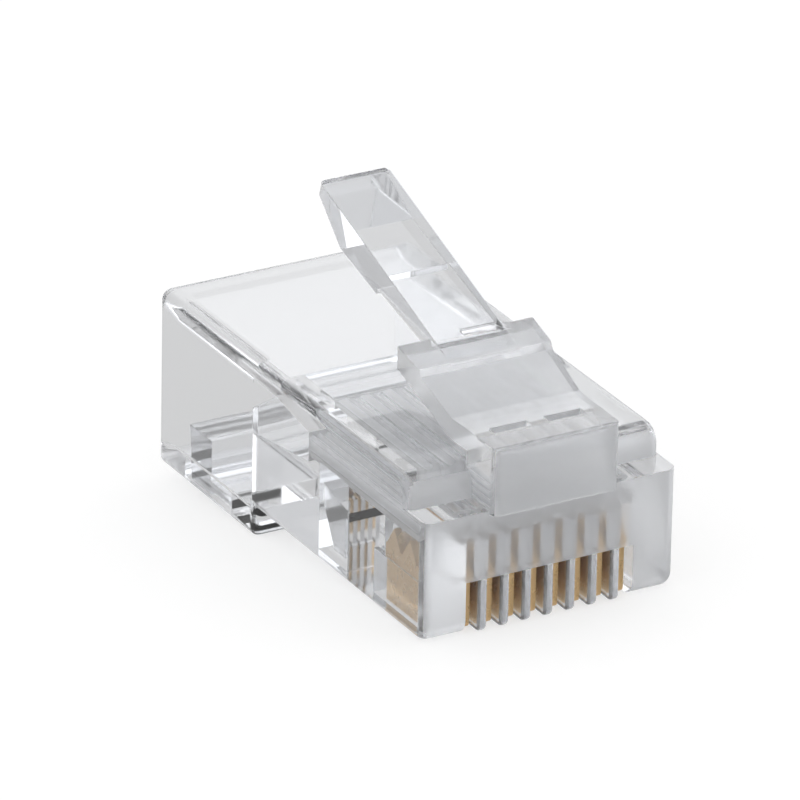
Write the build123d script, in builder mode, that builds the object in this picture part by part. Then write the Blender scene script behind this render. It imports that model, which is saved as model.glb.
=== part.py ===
"""Eight-position modular plug, not yet crimped: clear moulded housing, latch, cable clamps and eight blades.

X runs across the contacts, Y from the mating face to the cable end, and Z from the contact side up to
the latch. Z = 0 is the contact side of the nose and Y = 0 its mating face. All sizes are in millimetres.
"""

import os

from build123d import *

os.makedirs("parts", exist_ok=True)

# Moulded body
BODY_WIDTH = 11.68
BODY_LENGTH = 22.4
BODY_TOP = 6.65
REAR_DROP = 1.3
REAR_LENGTH = 8.4
NOSE_LEDGE_Z = 5.33
NOSE_SETBACK = 1.4
BROW_RADIUS = 0.9
TOP_EDGE_RADIUS = 0.45
NOSE_EDGE_RADIUS = 0.45
TOE_RADIUS = 0.7
HEEL_RADIUS = 0.4
BACK_EDGE_RADIUS = 0.3

# Cable cavity and the funnel from it to the conductors
SHELL_WALL = 0.9
ROOF_WALL = 1.05
CAVITY_LENGTH = 7.6
CAVITY_CORNER = 0.25
CAVITY_LEAN_HEIGHT = 1.35
CAVITY_LEAN_LENGTH = 2.0
MOUTH_DEPTH = 1.1
MOUTH_FLARE = 0.45
FUNNEL_SILL_Z = 3.0
FUNNEL_TAPER = 0.15
FUNNEL_END_Y = 10.6
FUNNEL_END_HEIGHT = 1.3

# Contact positions, conductor guides and slots
POSITIONS = 8
PITCH = 1.02
BORE_DIAMETER = 1.0
BORE_Z = 4.2
BORE_LINK_HEIGHT = 0.5
FRONT_WALL = 0.95
WIRE_SLOT_WIDTH = 0.60
WIRE_SLOT_DEPTH = 2.0
WIRE_SLOT_LENGTH = 5.2
FRONT_OPENING_HEIGHT = 2.35
RIB_TOE_RADIUS = 0.3
RIB_TOE_DEPTH = 0.9
RIB_EDGE_RADIUS = 0.15

# Contact blade, in a slot that starts behind a thin front wall
BLADE_SETBACK = 0.45
BLADE_THICKNESS = 0.33
BLADE_LENGTH = 3.85
BLADE_BASE_Z = 0.05
BLADE_TIP_Z = 3.45
BLADE_TOE_RADIUS = 0.25
TINES = 3
TINE_HEIGHT = 0.85
TINE_GAP = 0.14
BLADE_SIDE_GAP = 0.02
BLADE_END_GAP = 0.06

# Latch root, part of the housing
ROOT_WIDTH = 5.8
ROOT_PROUD = 0.4
ROOT_BASE_Z = 5.2
ROOT_TOP_Z = 8.15
ROOT_CORNER_RADIUS = 0.35
ROOT_ROLL_RADIUS = 0.25
HINGE_Y = 1.9
POCKET_WIDTH = 1.7
POCKET_LENGTH = 0.5
POCKET_DEPTH = 0.35
POCKET_SPACING = 2.5
POCKET_Y = 1.3

# Latch strap and its locking shoulders
STRAP_THICKNESS = 0.95
STRAP_BEND_Y = 3.0
SHOULDER_WIDTH = 6.25
SHOULDER_Y = 7.2
SHOULDER_TOP_Z = 9.65
SHOULDER_HEIGHT = 1.0
SHOULDER_STEP_Y = 5.4
SHOULDER_STEP = 0.3

# Latch finger arm
ARM_WIDTH = 3.2
ARM_SLOPE = 18.3
ARM_PROUD = 0.15
ARM_LENGTH = 9.9
ARM_ROOT_THICKNESS = 0.75
ARM_NECK_THICKNESS = 1.15
ARM_KNEE = 4.3
ARM_KNEE_THICKNESS = 1.4
ARM_PAD_LENGTH = 2.5
ARM_PAD_THICKNESS = 1.6
ARM_TIP_THICKNESS = 0.5
ARM_TIP_RADIUS = 0.25
ARM_ROOT_RADIUS = 0.6

# Conductor clamp: a bar on a web at its front end, in a window under the guides
CLAMP_Y = 7.3
CLAMP_LENGTH = 2.3
CLAMP_WIDTH = 7.7
CLAMP_WEB = 0.4
CLAMP_WEB_Z = 2.6
CLAMP_SOLE_Z = 0.4
CLAMP_SOLE_END = 1.3

# Jacket clamp: a bar across the cavity on a web at its front end, in a window in the cavity floor
JACKET_CLAMP_INSET = 5.8
JACKET_CLAMP_LENGTH = 3.9
JACKET_CLAMP_SIDE_GAP = 0.19
JACKET_CLAMP_WEB = 0.4
JACKET_CLAMP_WEB_DROP = 0.3
JACKET_CLAMP_RISE = 1.5
JACKET_CLAMP_BAR = 1.9
JACKET_CLAMP_DRAFT = 0.25
WINDOW_GAP = 0.12

half_width = BODY_WIDTH / 2
step_y = BODY_LENGTH - REAR_LENGTH
cavity_width = BODY_WIDTH - 2 * SHELL_WALL
cavity_floor = SHELL_WALL - REAR_DROP
cavity_top = BODY_TOP - ROOF_WALL
cavity_end_y = BODY_LENGTH - CAVITY_LENGTH
jacket_clamp_y = BODY_LENGTH - JACKET_CLAMP_INSET
jacket_clamp_width = cavity_width - 2 * JACKET_CLAMP_SIDE_GAP
comb_width = (POSITIONS - 1) * PITCH
contact_x = [(i - (POSITIONS - 1) / 2) * PITCH for i in range(POSITIONS)]
rib_x = [x + PITCH / 2 for x in contact_x[:-1]]
blade_front = BLADE_SETBACK + BLADE_END_GAP
blade_back = blade_front + BLADE_LENGTH
strap_base_z = ROOT_TOP_Z - STRAP_THICKNESS


def station(y):
    """A plane across the plug at one distance from the mating face, facing the cable end."""
    return Plane(origin=(0, y, 0), x_dir=(-1, 0, 0), z_dir=(0, 1, 0))


def rectangle_between(low, high, width, corner=0.0):
    """A rectangle centred across the plug, between two heights."""
    with Locations((0, (low + high) / 2)):
        if corner:
            RectangleRounded(width, high - low, corner)
        else:
            Rectangle(width, high - low)


def edge_across(part, y, z):
    """The edges that run across the plug at one distance and height."""
    across = part.edges().filter_by(Axis.X)
    return across.filter_by_position(Axis.Y, y, y).filter_by_position(Axis.Z, z, z)


def side_outline(part, low_y, high_y, low_z, high_z):
    """The outline edges of both flat sides whose middles lie in a window of Y and Z."""
    sides = part.faces().filter_by(Axis.X).sort_by(Axis.X)
    outline = sides[0].edges() + sides[-1].edges()
    outline = outline.filter_by_position(Axis.Y, low_y, high_y)
    return outline.filter_by_position(Axis.Z, low_z, high_z)


with BuildPart() as housing:
    # Outer block with its stepped underside and set-back brow
    with BuildSketch(Plane.YZ):
        with BuildLine():
            Polyline(
                (0, 0),
                (step_y, 0),
                (step_y, -REAR_DROP),
                (BODY_LENGTH, -REAR_DROP),
                (BODY_LENGTH, BODY_TOP),
                (NOSE_SETBACK, BODY_TOP),
                (NOSE_SETBACK, NOSE_LEDGE_Z),
                (0, NOSE_LEDGE_Z),
                close=True,
            )
        make_face()
    extrude(amount=half_width, both=True)

    # Rounded brow, toe and heel, then the long edges that run on from them
    fillet(edge_across(housing, NOSE_SETBACK, BODY_TOP), BROW_RADIUS)
    fillet(edge_across(housing, 0, 0), TOE_RADIUS)
    fillet(edge_across(housing, step_y, -REAR_DROP), HEEL_RADIUS)
    brow_start = BODY_TOP - BROW_RADIUS
    fillet(side_outline(housing, NOSE_SETBACK, step_y, brow_start, BODY_TOP), TOP_EDGE_RADIUS)
    fillet(side_outline(housing, 0, step_y / 2 + TOE_RADIUS, 0, NOSE_LEDGE_Z * 0.7), NOSE_EDGE_RADIUS)
    fillet(side_outline(housing, step_y, BODY_LENGTH - HEEL_RADIUS, -REAR_DROP, -HEEL_RADIUS), HEEL_RADIUS)
    fillet(side_outline(housing, BODY_LENGTH, BODY_LENGTH, 0, BODY_TOP), BACK_EDGE_RADIUS)

    # Latch root, proud of the nose, its front rolled over, with two small pockets in its top
    with BuildPart(mode=Mode.PRIVATE) as root:
        with BuildSketch(Plane.XY.offset(ROOT_BASE_Z)):
            with Locations((0, (HINGE_Y - ROOT_PROUD) / 2)):
                Rectangle(ROOT_WIDTH, HINGE_Y + ROOT_PROUD)
        extrude(amount=ROOT_TOP_Z - ROOT_BASE_Z)
        fillet(root.edges().filter_by(Axis.Z).group_by(Axis.Y)[0], ROOT_CORNER_RADIUS)
        with BuildSketch(Plane.YZ):
            with BuildLine():
                roll_start = (-ROOT_PROUD, ROOT_TOP_Z - ROOT_ROLL_RADIUS)
                roll_end = (ROOT_ROLL_RADIUS - ROOT_PROUD, ROOT_TOP_Z)
                RadiusArc(roll_start, roll_end, ROOT_ROLL_RADIUS)
                Polyline(
                    roll_end,
                    (HINGE_Y, ROOT_TOP_Z),
                    (HINGE_Y, ROOT_BASE_Z),
                    (-ROOT_PROUD, ROOT_BASE_Z),
                    roll_start,
                )
            make_face()
        extrude(amount=ROOT_WIDTH / 2, both=True, mode=Mode.INTERSECT)
    add(root.part)
    with BuildSketch(Plane.XY.offset(ROOT_TOP_Z)):
        with Locations(*[(side * POCKET_SPACING / 2, POCKET_Y) for side in (-1, 1)]):
            Rectangle(POCKET_WIDTH, POCKET_LENGTH)
    extrude(amount=-POCKET_DEPTH, mode=Mode.SUBTRACT)

    # Cable cavity, its flared mouth and the funnel down to the conductors
    with BuildSketch(station(cavity_end_y)):
        rectangle_between(cavity_floor, cavity_top, cavity_width, CAVITY_CORNER)
    extrude(amount=CAVITY_LENGTH, mode=Mode.SUBTRACT)
    with BuildSketch(station(BODY_LENGTH - MOUTH_DEPTH)):
        rectangle_between(cavity_floor, cavity_top, cavity_width, CAVITY_CORNER)
    with BuildSketch(station(BODY_LENGTH)):
        rectangle_between(
            cavity_floor - MOUTH_FLARE,
            cavity_top + MOUTH_FLARE,
            cavity_width + 2 * MOUTH_FLARE,
            CAVITY_CORNER + MOUTH_FLARE,
        )
    loft(mode=Mode.SUBTRACT)
    with BuildSketch(Plane.YZ):
        with BuildLine():
            Polyline(
                (cavity_end_y, cavity_top - CAVITY_LEAN_HEIGHT),
                (cavity_end_y, cavity_top),
                (cavity_end_y - CAVITY_LEAN_LENGTH, cavity_top),
                close=True,
            )
        make_face()
    extrude(amount=cavity_width / 2, both=True, mode=Mode.SUBTRACT)
    funnel_end_width = comb_width + BORE_DIAMETER
    with BuildSketch(station(cavity_end_y)):
        rectangle_between(FUNNEL_SILL_Z, cavity_top, funnel_end_width + 2 * FUNNEL_TAPER)
    with BuildSketch(station(FUNNEL_END_Y)):
        rectangle_between(
            BORE_Z - FUNNEL_END_HEIGHT / 2,
            BORE_Z + FUNNEL_END_HEIGHT / 2,
            funnel_end_width,
        )
    loft(mode=Mode.SUBTRACT)

    # Eight conductor guides, joined side by side
    with BuildSketch(station(FRONT_WALL)):
        with Locations(*[(x, BORE_Z) for x in contact_x]):
            Circle(BORE_DIAMETER / 2)
        with Locations((0, BORE_Z)):
            Rectangle(comb_width, BORE_LINK_HEIGHT)
    extrude(amount=FUNNEL_END_Y - FRONT_WALL, mode=Mode.SUBTRACT)

    # Blade slots: a close slot that holds the blade, and a wide one for the jack's wires
    slot_end = blade_back + BLADE_END_GAP
    with BuildSketch(Plane.XY):
        with Locations(*[(x, (BLADE_SETBACK + slot_end) / 2) for x in contact_x]):
            Rectangle(BLADE_THICKNESS + 2 * BLADE_SIDE_GAP, slot_end - BLADE_SETBACK)
    extrude(amount=BORE_Z, mode=Mode.SUBTRACT)
    with BuildSketch(Plane.XY):
        with Locations(*[(x, WIRE_SLOT_LENGTH / 2) for x in contact_x]):
            Rectangle(WIRE_SLOT_WIDTH, WIRE_SLOT_LENGTH)
    extrude(amount=WIRE_SLOT_DEPTH, mode=Mode.SUBTRACT)
    with BuildSketch(Plane.XY):
        with Locations(*[(x, FRONT_WALL / 2) for x in contact_x]):
            Rectangle(WIRE_SLOT_WIDTH, FRONT_WALL)
    extrude(amount=FRONT_OPENING_HEIGHT, mode=Mode.SUBTRACT)

    # Fuller toes on the ribs between the slots
    with BuildSketch(*[Plane.YZ.offset(x) for x in rib_x]):
        with BuildLine():
            Polyline(
                (0, RIB_TOE_RADIUS),
                (0, RIB_TOE_DEPTH),
                (RIB_TOE_DEPTH, RIB_TOE_DEPTH),
                (RIB_TOE_DEPTH, 0),
                (RIB_TOE_RADIUS, 0),
            )
            RadiusArc((RIB_TOE_RADIUS, 0), (0, RIB_TOE_RADIUS), RIB_TOE_RADIUS)
        make_face()
    extrude(amount=(PITCH - WIRE_SLOT_WIDTH) / 2, both=True)

    # Softened edges along the slots' feet
    feet = housing.edges().filter_by(Axis.Y).filter_by_position(Axis.Z, 0, 0)
    fillet(feet.filter_by_position(Axis.Y, 0, WIRE_SLOT_LENGTH), RIB_EDGE_RADIUS)

    # Windows for the two clamps
    with BuildSketch(Plane.XY):
        with Locations((0, CLAMP_Y + (CLAMP_LENGTH + WINDOW_GAP) / 2)):
            Rectangle(CLAMP_WIDTH + 2 * WINDOW_GAP, CLAMP_LENGTH + WINDOW_GAP)
    extrude(amount=BORE_Z, mode=Mode.SUBTRACT)
    with BuildSketch(Plane.XY.offset(-REAR_DROP)):
        with Locations((0, jacket_clamp_y + (JACKET_CLAMP_LENGTH + WINDOW_GAP) / 2)):
            Rectangle(jacket_clamp_width + 2 * WINDOW_GAP, JACKET_CLAMP_LENGTH + WINDOW_GAP)
    extrude(amount=SHELL_WALL + CAVITY_CORNER, mode=Mode.SUBTRACT)

with BuildPart() as latch:
    # Strap: level off the root, then rising to the two locking shoulders
    rise = (SHOULDER_TOP_Z - SHOULDER_HEIGHT - strap_base_z) / (SHOULDER_Y - STRAP_BEND_Y)
    step_z = ROOT_TOP_Z + rise * (SHOULDER_STEP_Y - STRAP_BEND_Y)
    with BuildSketch(Plane.YZ):
        with BuildLine():
            Polyline(
                (HINGE_Y, strap_base_z),
                (HINGE_Y, ROOT_TOP_Z),
                (STRAP_BEND_Y, ROOT_TOP_Z),
                (SHOULDER_STEP_Y, step_z),
                (SHOULDER_STEP_Y + SHOULDER_STEP / 2, step_z + SHOULDER_STEP),
                (SHOULDER_Y, SHOULDER_TOP_Z),
                (SHOULDER_Y, SHOULDER_TOP_Z - SHOULDER_HEIGHT),
                (STRAP_BEND_Y, strap_base_z),
                close=True,
            )
        make_face()
    extrude(amount=SHOULDER_WIDTH / 2, both=True)
    with BuildSketch(Plane.XY.offset(strap_base_z)):
        with BuildLine():
            Polyline(
                (-ROOT_WIDTH / 2, HINGE_Y),
                (ROOT_WIDTH / 2, HINGE_Y),
                (SHOULDER_WIDTH / 2, SHOULDER_Y),
                (-SHOULDER_WIDTH / 2, SHOULDER_Y),
                close=True,
            )
        make_face()
    extrude(amount=SHOULDER_TOP_Z - strap_base_z, mode=Mode.INTERSECT)

    # Finger arm, drawn from the shoulders in a side plane that follows its slope
    arm_root = (0, SHOULDER_Y, SHOULDER_TOP_Z + ARM_PROUD)
    arm_run = Vector(0, 1, 0).rotate(Axis.X, ARM_SLOPE)
    with BuildSketch(Plane(origin=arm_root, x_dir=arm_run, z_dir=(1, 0, 0))):
        with BuildLine():
            Polyline(
                (SHOULDER_STEP_Y - SHOULDER_Y, 0),
                (ARM_LENGTH, 0),
                (ARM_LENGTH, -ARM_TIP_THICKNESS),
                (ARM_LENGTH - ARM_PAD_LENGTH, -ARM_PAD_THICKNESS),
                (ARM_KNEE, -ARM_KNEE_THICKNESS),
                (ARM_KNEE, -ARM_NECK_THICKNESS),
                (0, -ARM_ROOT_THICKNESS),
                (SHOULDER_STEP_Y - SHOULDER_Y, -ARM_ROOT_THICKNESS),
                close=True,
            )
        make_face()
    extrude(amount=ARM_WIDTH / 2, both=True)

    # Rounded tip corners, and hollow rounds where the arm's sides leave the shoulders
    tip_corners = latch.faces().sort_by(Axis.Y)[-1].edges().sort_by(Axis.X)
    fillet([tip_corners[0], tip_corners[-1]], ARM_TIP_RADIUS)
    with BuildSketch(Plane.XY.offset(SHOULDER_TOP_Z + ARM_PROUD - ARM_ROOT_THICKNESS)):
        with BuildLine():
            round_start = (ARM_WIDTH / 2, SHOULDER_Y + ARM_ROOT_RADIUS)
            round_end = (ARM_WIDTH / 2 + ARM_ROOT_RADIUS, SHOULDER_Y)
            RadiusArc(round_start, round_end, -ARM_ROOT_RADIUS)
            Polyline(round_end, (0, SHOULDER_Y), (0, SHOULDER_Y + ARM_ROOT_RADIUS), round_start)
            mirror(about=Plane.YZ)
        make_face()
    extrude(amount=ARM_ROOT_THICKNESS - ARM_PROUD)

with BuildPart() as conductor_clamp:
    with BuildSketch(Plane.YZ):
        with BuildLine():
            Polyline(
                (CLAMP_Y, CLAMP_WEB_Z),
                (CLAMP_Y + CLAMP_WEB, CLAMP_WEB_Z),
                (CLAMP_Y + CLAMP_LENGTH, CLAMP_WEB_Z + CLAMP_WEB),
                (CLAMP_Y + CLAMP_LENGTH, CLAMP_WEB_Z - CLAMP_WEB),
                (CLAMP_Y + CLAMP_SOLE_END, CLAMP_SOLE_Z),
                (CLAMP_Y + CLAMP_WEB, CLAMP_SOLE_Z),
                (CLAMP_Y + CLAMP_WEB, CLAMP_WEB_Z - CLAMP_WEB),
                (CLAMP_Y, CLAMP_WEB_Z - CLAMP_WEB),
                close=True,
            )
        make_face()
    extrude(amount=CLAMP_WIDTH / 2, both=True)

with BuildPart() as jacket_clamp:
    clamp_back = jacket_clamp_y + JACKET_CLAMP_LENGTH
    bar_front = clamp_back - JACKET_CLAMP_BAR
    web_top = cavity_floor - JACKET_CLAMP_WEB_DROP
    web_low = web_top - JACKET_CLAMP_WEB
    land_z = cavity_floor + JACKET_CLAMP_RISE
    with BuildSketch(Plane.YZ):
        with BuildLine():
            Polyline(
                (jacket_clamp_y, web_top),
                (bar_front, web_top),
                (bar_front, land_z),
                (clamp_back, land_z),
                (clamp_back - JACKET_CLAMP_DRAFT, -REAR_DROP),
                (bar_front, -REAR_DROP),
                (bar_front, web_low),
                (jacket_clamp_y, web_low),
                close=True,
            )
        make_face()
    extrude(amount=jacket_clamp_width / 2, both=True)

# The piercing tines, evenly spaced along the blade's top
tine_pitch = BLADE_LENGTH / TINES
tine_base = tine_pitch - TINE_GAP
valley_z = BLADE_TIP_Z - TINE_HEIGHT
tine_outline = []
for tine in range(TINES):
    tine_start = blade_front + TINE_GAP / 2 + tine * tine_pitch
    tine_outline.append((tine_start, valley_z))
    tine_outline.append((tine_start + tine_base / 2, BLADE_TIP_Z))
    tine_outline.append((tine_start + tine_base, valley_z))

blades = []
for number, x in enumerate(contact_x, start=1):
    with BuildPart() as blade:
        with BuildSketch(Plane.YZ.offset(x)):
            with BuildLine():
                Polyline(
                    (blade_front, BLADE_BASE_Z),
                    (blade_front, valley_z),
                    *tine_outline,
                    (blade_back, valley_z),
                    (blade_back, BLADE_BASE_Z),
                    close=True,
                )
            make_face()
        extrude(amount=BLADE_THICKNESS / 2, both=True)
        toes = edge_across(blade, blade_front, BLADE_BASE_Z) + edge_across(blade, blade_back, BLADE_BASE_Z)
        fillet(toes, BLADE_TOE_RADIUS)
    blade.part.label = f"contact_{number}"
    blades.append(blade)

housing.part.label = "housing"
latch.part.label = "latch"
conductor_clamp.part.label = "conductor_clamp"
jacket_clamp.part.label = "jacket_clamp"
for piece in (housing, latch, conductor_clamp, jacket_clamp, *blades):
    export_step(piece.part, f"parts/{piece.part.label}.step")
    print(piece.part.label, round(piece.part.volume, 2), "mm3")
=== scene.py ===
"""Looks for the clear modular plug: one clear shell, gold blades, a white studio and the photograph's view.

Places and lengths are in millimetres in the plug's own frame. MM turns them into metres.
"""

import math

import bmesh
import bpy
from mathutils import Matrix, Vector
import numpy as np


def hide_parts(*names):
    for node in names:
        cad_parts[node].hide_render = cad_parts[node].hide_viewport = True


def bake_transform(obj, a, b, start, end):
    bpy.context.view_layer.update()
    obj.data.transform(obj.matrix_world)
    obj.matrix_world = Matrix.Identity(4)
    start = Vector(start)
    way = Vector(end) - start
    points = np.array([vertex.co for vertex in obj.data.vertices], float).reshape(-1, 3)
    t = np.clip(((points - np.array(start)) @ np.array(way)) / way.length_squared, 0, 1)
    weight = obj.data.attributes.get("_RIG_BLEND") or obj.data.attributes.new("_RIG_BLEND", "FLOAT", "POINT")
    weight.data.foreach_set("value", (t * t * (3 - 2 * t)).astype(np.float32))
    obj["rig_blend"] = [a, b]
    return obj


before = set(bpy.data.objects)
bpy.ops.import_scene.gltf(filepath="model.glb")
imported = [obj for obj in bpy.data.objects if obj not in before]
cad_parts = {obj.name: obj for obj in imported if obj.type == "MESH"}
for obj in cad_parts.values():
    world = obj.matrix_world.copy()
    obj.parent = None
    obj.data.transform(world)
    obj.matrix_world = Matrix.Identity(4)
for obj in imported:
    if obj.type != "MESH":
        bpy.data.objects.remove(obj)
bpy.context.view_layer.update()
MM = 0.001

# The camera's fit to the photograph
AZIMUTH = math.radians(-29.72)
ELEVATION = math.radians(24.96)
ROLL = math.radians(1.15)
DISTANCE = 400.02 * MM
LOOK_AT = Vector((-1.94, 9.0, 6.27)) * MM
FOCAL_PIXELS = 9878.11
PICTURE_WIDTH = 800
SENSOR_WIDTH = 36

# How rough and how milky the mould left each place
GUIDES = (0.60, 0.35)
SLOT_ENDS = (0.50, 0.12)
SLOTS = (0.12, 0.03)
FEET = (0.06, 0.0)
NOSE = (0.46, 0.12)
LATCH = (0.18, 0.14)
WALLS = (0.02, 0.0)

# Where those places are: half a width in X, then a range of Y and a range of Z
GUIDES_BOX = (4.4, (0.9, 10.7), (3.4, 4.9))
SLOTS_BOX = (4.1, (-1.0, 5.3), (0.02, 4.3))
LATCH_BOX = (3.2, (-1.0, 7.1), (7.1, 13.0))

# The slots end behind the first of these, their ribs' feet lie below the second, and the nose's satin
# faces in front of the third
SLOT_ENDS_Y = 3.0
FEET_TOP_Z = 2.3
NOSE_BACK_Y = 2.0

# How squarely a face looks along an axis when it counts as facing that way
FACING = 0.7

# The plastic: tint, refraction, clearness at best, patchy roughness, flow marks and rounded edges
PLASTIC_TINT = (0.975, 0.982, 0.995, 1)
REFRACTION = 1.585
CLARITY = 0.975
PATCHINESS = 0.05
FLOW_SCALE = 420.0
FLOW_DEPTH = 0.04
EDGE_ROUND = 0.05

# The gold plating: two tints and two degrees of roughness that its grain runs between
GOLD_TINTS = ((0.66, 0.45, 0.23, 1), (0.75, 0.53, 0.28, 1))
GOLD_ROUGHNESS = (0.24, 0.32)
GRAIN_SCALE = 2500.0
GRAIN_DEPTH = 0.02

# The studio: its plain light, and the level and tint that metal and plastic see
PLAIN_LIGHT = 1.0
ROOM_LEVEL = 0.70
ROOM_TINT = (0.97, 0.98, 1, 1)
WHITE = (1, 1, 1, 1)

# Patches of its sky: a direction, the cosines where the patch starts and is full, and the light it adds
SKY_PATCHES = (
    ((0.42, 0.78, 0.46), 0.86, 0.95, 0.30),
    ((0.10, 0.30, 0.95), 0.30, 0.90, 1.00),
    ((0.44, 0.42, 0.80), 0.955, 0.985, -1.4),
    ((-0.60, 0.70, 0.35), 0.60, 0.95, -0.6),
)

# The table's grey and its own glow, as metal and plastic see it and as the camera does
TABLE_THROUGH = (0.06, 0.59)
TABLE_SEEN = (0.42, 0.62)

# Where the plug's toe and heel stand on the table, and how far the table reaches from there
TOE = Vector((0, 0.27, -0.01)) * MM
HEEL = Vector((0, 14.36, -1.31)) * MM
TABLE_REACH = 2000 * MM

# The strap's bend: where it starts and ends, into how many lengths the strap is cut there, and the height
# below which everything stays with the housing
HINGE_Y = 1.9
BEND_END_Y = 5.4
BEND_Z = 7.5
STRAP_LENGTHS = 12
STRAP_LOW_Z = 6.9

# How far the strap's end face is sunk into its root for the union, and how near the hinge that face is
STRAP_SINK = 0.1
STRAP_END_SLACK = 0.01

# How often light may bounce, most of it inside the plastic
BOUNCES = 24
GLOSSY_BOUNCES = 12


class Nodes:
    """Adds shader nodes to a tree and links them by socket name."""

    def __init__(self, tree):
        self.tree = tree
        tree.nodes.clear()

    def add(self, kind, **values):
        node = self.tree.nodes.new(kind)
        for key, value in values.items():
            if hasattr(node, key):
                setattr(node, key, value)
            else:
                node.inputs[key.replace("_", " ")].default_value = value
        return node

    def link(self, source, output, target, name):
        self.tree.links.new(source.outputs[output], target.inputs[name])


def new_material(name):
    material = bpy.data.materials.new(name)
    material.use_nodes = True
    return material, Nodes(material.node_tree)


def in_scene(data, name):
    """An object in the scene that shows a mesh or holds a camera."""
    made = bpy.data.objects.new(name, data)
    bpy.context.scene.collection.objects.link(made)
    return made


def weld(mesh):
    """Merges the doubled vertices along a bmesh's sharp edges."""
    bmesh.ops.remove_doubles(mesh, verts=mesh.verts, dist=1e-6)


def welded(name):
    """A welded bmesh of a CAD node."""
    mesh = bmesh.new()
    mesh.from_mesh(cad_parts[name].data)
    weld(mesh)
    return mesh


def as_object(mesh, name):
    """An object made of a bmesh, which is used up."""
    data = bpy.data.meshes.new(name)
    mesh.to_mesh(data)
    mesh.free()
    return in_scene(data, name)


def make_shell():
    """The housing and its latch as the one moulding that they are, with cuts across the strap to bend at."""
    latch = welded("latch")
    for step in range(1, STRAP_LENGTHS):
        y = HINGE_Y + (BEND_END_Y - HINGE_Y) * step / STRAP_LENGTHS
        everything = latch.verts[:] + latch.edges[:] + latch.faces[:]
        bmesh.ops.bisect_plane(latch, geom=everything, plane_co=(0, y * MM, 0), plane_no=(0, 1, 0), dist=1e-7)
    for vertex in latch.verts:
        if vertex.co.y < (HINGE_Y + STRAP_END_SLACK) * MM:
            vertex.co.y -= STRAP_SINK * MM
    tongue = as_object(latch, "tongue")
    shell = as_object(welded("housing"), "clear_shell")
    union = shell.modifiers.new("union", "BOOLEAN")
    union.operation = "UNION"
    union.solver = "EXACT"
    union.object = tongue
    bpy.context.view_layer.update()
    graph = bpy.context.evaluated_depsgraph_get()
    joined = bpy.data.meshes.new_from_object(shell.evaluated_get(graph))
    shell.modifiers.clear()
    shell.data = joined
    bpy.data.objects.remove(tongue)
    return shell


def soften(obj, angle=25):
    """Smooth shading across the facets of rounded edges, flat on the flats."""
    mesh = bmesh.new()
    mesh.from_mesh(obj.data)
    weld(mesh)
    for face in mesh.faces:
        face.smooth = True
    for edge in mesh.edges:
        if len(edge.link_faces) == 2:
            edge.smooth = edge.calc_face_angle() < math.radians(angle)
    mesh.to_mesh(obj.data)
    mesh.free()
    weigh = obj.modifiers.new("weigh", "WEIGHTED_NORMAL")
    weigh.mode = "FACE_AREA"
    weigh.weight = 100
    weigh.keep_sharp = True


def inside(box, place):
    """Whether a place, in millimetres, is in a box given as half a width and two ranges."""
    half_width, (front, back), (bottom, top) = box
    x, y, z = place
    return abs(x) < half_width and front < y < back and bottom < z < top


def moulded_finish(place, normal):
    """The finish the mould left on a face of the shell: eroded cores, a satin nose and polished walls."""
    in_slots = inside(SLOTS_BOX, place)
    if inside(GUIDES_BOX, place):
        return GUIDES
    if in_slots and place.y > SLOT_ENDS_Y and abs(normal.y) > FACING:
        return SLOT_ENDS
    if in_slots and abs(normal.x) > FACING:
        return SLOTS
    if in_slots and place.z < FEET_TOP_Z:
        return FEET
    if normal.y < -FACING and place.y < NOSE_BACK_Y:
        return NOSE
    if inside(LATCH_BOX, place):
        return LATCH
    return WALLS


def mark_finish(obj):
    """Writes each face's roughness and milkiness where the plastic's material reads them."""
    finishes = [moulded_finish(face.center / MM, face.normal) for face in obj.data.polygons]
    for name, values in zip(("finish", "milk"), zip(*finishes)):
        attribute = obj.data.attributes.new(name, "FLOAT", "FACE")
        attribute.data.foreach_set("value", values)


def clear_plastic():
    """Clear polycarbonate, roughened and clouded where the mould's cores stood."""
    material, n = new_material("clear_plastic")
    out = n.add("ShaderNodeOutputMaterial")
    shader = n.add("ShaderNodeBsdfPrincipled", Base_Color=PLASTIC_TINT, IOR=REFRACTION)
    place = n.add("ShaderNodeTexCoord")
    flow = n.add("ShaderNodeTexNoise", Scale=FLOW_SCALE, Detail=3.0)
    patchy = n.add("ShaderNodeMapRange", To_Min=0.0, To_Max=PATCHINESS)
    finish = n.add("ShaderNodeAttribute", attribute_name="finish")
    rough = n.add("ShaderNodeMath", operation="ADD")
    milk = n.add("ShaderNodeAttribute", attribute_name="milk")
    clear = n.add("ShaderNodeMath", operation="SUBTRACT")
    clear.inputs[0].default_value = CLARITY
    edges = n.add("ShaderNodeBevel", samples=4, Radius=EDGE_ROUND * MM)
    bump = n.add("ShaderNodeBump", Strength=0.04, Distance=FLOW_DEPTH * MM)
    n.link(place, "Object", flow, "Vector")
    n.link(flow, "Fac", patchy, "Value")
    n.link(patchy, "Result", rough, 0)
    n.link(finish, "Fac", rough, 1)
    n.link(milk, "Fac", clear, 1)
    n.link(clear, "Value", shader, "Transmission Weight")
    n.link(rough, "Value", shader, "Roughness")
    n.link(flow, "Fac", bump, "Height")
    n.link(edges, "Normal", bump, "Normal")
    n.link(bump, "Normal", shader, "Normal")
    n.link(shader, "BSDF", out, "Surface")
    return material


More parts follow.
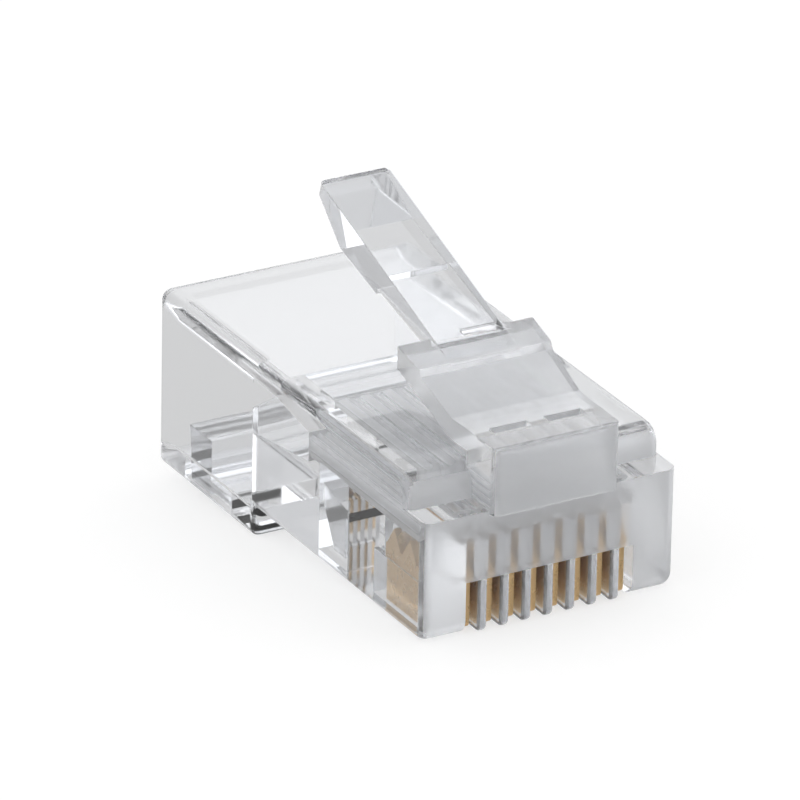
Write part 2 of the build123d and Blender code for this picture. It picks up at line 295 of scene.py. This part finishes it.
def gold_plate():
    """Thin gold over copper alloy. A colour mix has A, B and its result at sockets 6, 7 and 2."""
    material, n = new_material("gold_plate")
    out = n.add("ShaderNodeOutputMaterial")
    shader = n.add("ShaderNodeBsdfPrincipled", Metallic=1.0)
    place = n.add("ShaderNodeTexCoord")
    grain = n.add("ShaderNodeTexNoise", Scale=GRAIN_SCALE, Detail=4.0)
    tint = n.add("ShaderNodeMix", data_type="RGBA")
    tint.inputs[6].default_value, tint.inputs[7].default_value = GOLD_TINTS
    smoothest, roughest = GOLD_ROUGHNESS
    rough = n.add("ShaderNodeMapRange", To_Min=smoothest, To_Max=roughest)
    bump = n.add("ShaderNodeBump", Strength=0.02, Distance=GRAIN_DEPTH * MM)
    n.link(place, "Object", grain, "Vector")
    n.link(grain, "Fac", tint, 0)
    n.link(tint, 2, shader, "Base Color")
    n.link(grain, "Fac", rough, "Value")
    n.link(rough, "Result", shader, "Roughness")
    n.link(grain, "Fac", bump, "Height")
    n.link(bump, "Normal", shader, "Normal")
    n.link(shader, "BSDF", out, "Surface")
    return material


def sky_level(n):
    """The node whose value is the room's own level with the light of every sky patch added."""
    place = n.add("ShaderNodeTexCoord")
    level = None
    for direction, start, full, light in SKY_PATCHES:
        towards = n.add("ShaderNodeVectorMath", operation="DOT_PRODUCT")
        towards.inputs[1].default_value = Vector(direction).normalized()
        limits = {"From_Min": start, "From_Max": full, "To_Max": light}
        patch = n.add("ShaderNodeMapRange", interpolation_type="SMOOTHSTEP", **limits)
        total = n.add("ShaderNodeMath", operation="ADD")
        n.link(place, "Generated", towards, 0)
        n.link(towards, "Value", patch, "Value")
        n.link(patch, "Result", total, 0)
        if level is None:
            total.inputs[1].default_value = ROOM_LEVEL
        else:
            n.link(level, "Value", total, 1)
        level = total
    return level


def make_world():
    """White to the camera, a studio of bright and dim patches to metal and plastic, plain to the rest."""
    world = bpy.data.worlds.new("studio")
    bpy.context.scene.world = world
    world.use_nodes = True
    n = Nodes(world.node_tree)
    out = n.add("ShaderNodeOutputWorld")
    level = sky_level(n)
    studio = n.add("ShaderNodeBackground", Color=ROOM_TINT)
    plain = n.add("ShaderNodeBackground", Color=WHITE, Strength=PLAIN_LIGHT)
    white = n.add("ShaderNodeBackground", Color=WHITE)
    path = n.add("ShaderNodeLightPath")
    in_plastic = n.add("ShaderNodeMath", operation="ADD", use_clamp=True)
    seen = n.add("ShaderNodeMixShader")
    mix = n.add("ShaderNodeMixShader")
    n.link(level, "Value", studio, "Strength")
    n.link(path, "Is Glossy Ray", in_plastic, 0)
    n.link(path, "Is Transmission Ray", in_plastic, 1)
    n.link(in_plastic, "Value", seen, 0)
    n.link(plain, "Background", seen, 1)
    n.link(studio, "Background", seen, 2)
    n.link(path, "Is Camera Ray", mix, 0)
    n.link(seen, "Shader", mix, 1)
    n.link(white, "Background", mix, 2)
    n.link(mix, "Shader", out, "Surface")


def table():
    """A pale matt table that glows a little, by one pair of values to the camera and another to the rest."""
    material, n = new_material("table")
    out = n.add("ShaderNodeOutputMaterial")
    path = n.add("ShaderNodeLightPath")
    mix = n.add("ShaderNodeMixShader")
    n.link(path, "Is Camera Ray", mix, 0)
    for slot, (grey, glow) in enumerate((TABLE_THROUGH, TABLE_SEEN), start=1):
        pale = n.add("ShaderNodeBsdfDiffuse", Color=(grey, grey, grey, 1))
        shine = n.add("ShaderNodeEmission", Color=WHITE, Strength=glow)
        lit = n.add("ShaderNodeAddShader")
        n.link(pale, "BSDF", lit, 0)
        n.link(shine, "Emission", lit, 1)
        n.link(lit, "Shader", mix, slot)
    n.link(mix, "Shader", out, "Surface")
    return material


def make_floor():
    """A table top that the plug's toe and heel both touch."""
    run = (HEEL - TOE).normalized() * TABLE_REACH
    side = Vector((TABLE_REACH, 0, 0))
    middle = (TOE + HEEL) / 2
    corners = [middle + side * x + run * y for x, y in ((-1, -1), (1, -1), (1, 1), (-1, 1))]
    data = bpy.data.meshes.new("floor")
    data.from_pydata([tuple(c) for c in corners], [], [(0, 1, 2, 3)])
    floor = in_scene(data, "floor")
    data.materials.append(table())


def make_camera():
    """The photograph's camera, from the angles, the distance and the focal length of its fit."""
    back = Vector(
        (
            math.sin(AZIMUTH) * math.cos(ELEVATION),
            -math.cos(AZIMUTH) * math.cos(ELEVATION),
            math.sin(ELEVATION),
        )
    )
    level = (-back).cross(Vector((0, 0, 1))).normalized()
    upright = level.cross(-back)
    right = level * math.cos(ROLL) + upright * math.sin(ROLL)
    up = upright * math.cos(ROLL) - level * math.sin(ROLL)
    data = bpy.data.cameras.new("camera")
    data.sensor_width = SENSOR_WIDTH
    data.lens = FOCAL_PIXELS / PICTURE_WIDTH * SENSOR_WIDTH
    data.clip_start = 10 * MM
    data.clip_end = 10000 * MM
    camera = in_scene(data, "camera")
    turn = Matrix((right, up, back)).transposed().to_4x4()
    camera.matrix_world = Matrix.Translation(LOOK_AT + back * DISTANCE) @ turn
    bpy.context.scene.camera = camera


def set_material(obj, material):
    obj.data.materials.clear()
    obj.data.materials.append(material)


make_camera()
make_world()
make_floor()

plastic = clear_plastic()
gold = gold_plate()

# The shell follows the housing, and its strap bends with the latch
shell = make_shell()
soften(shell)
mark_finish(shell)
set_material(shell, plastic)
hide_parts("housing", "latch")
bend_start = (0, HINGE_Y * MM, BEND_Z * MM)
bend_end = (0, BEND_END_Y * MM, BEND_Z * MM)
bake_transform(shell, "shell", "latch_arm", start=bend_start, end=bend_end)
follow = shell.data.attributes["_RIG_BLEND"].data
for index, vertex in enumerate(shell.data.vertices):
    if vertex.co.z < STRAP_LOW_Z * MM:
        follow[index].value = 0.0

# The blades and the two clamps stay the frame's own solids
for name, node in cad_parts.items():
    if name.startswith("contact_"):
        set_material(node, gold)
    elif name.endswith("_clamp"):
        set_material(node, plastic)

scene = bpy.context.scene
scene.view_settings.view_transform = "Standard"
scene.cycles.max_bounces = BOUNCES
scene.cycles.transmission_bounces = BOUNCES
scene.cycles.glossy_bounces = GLOSSY_BOUNCES
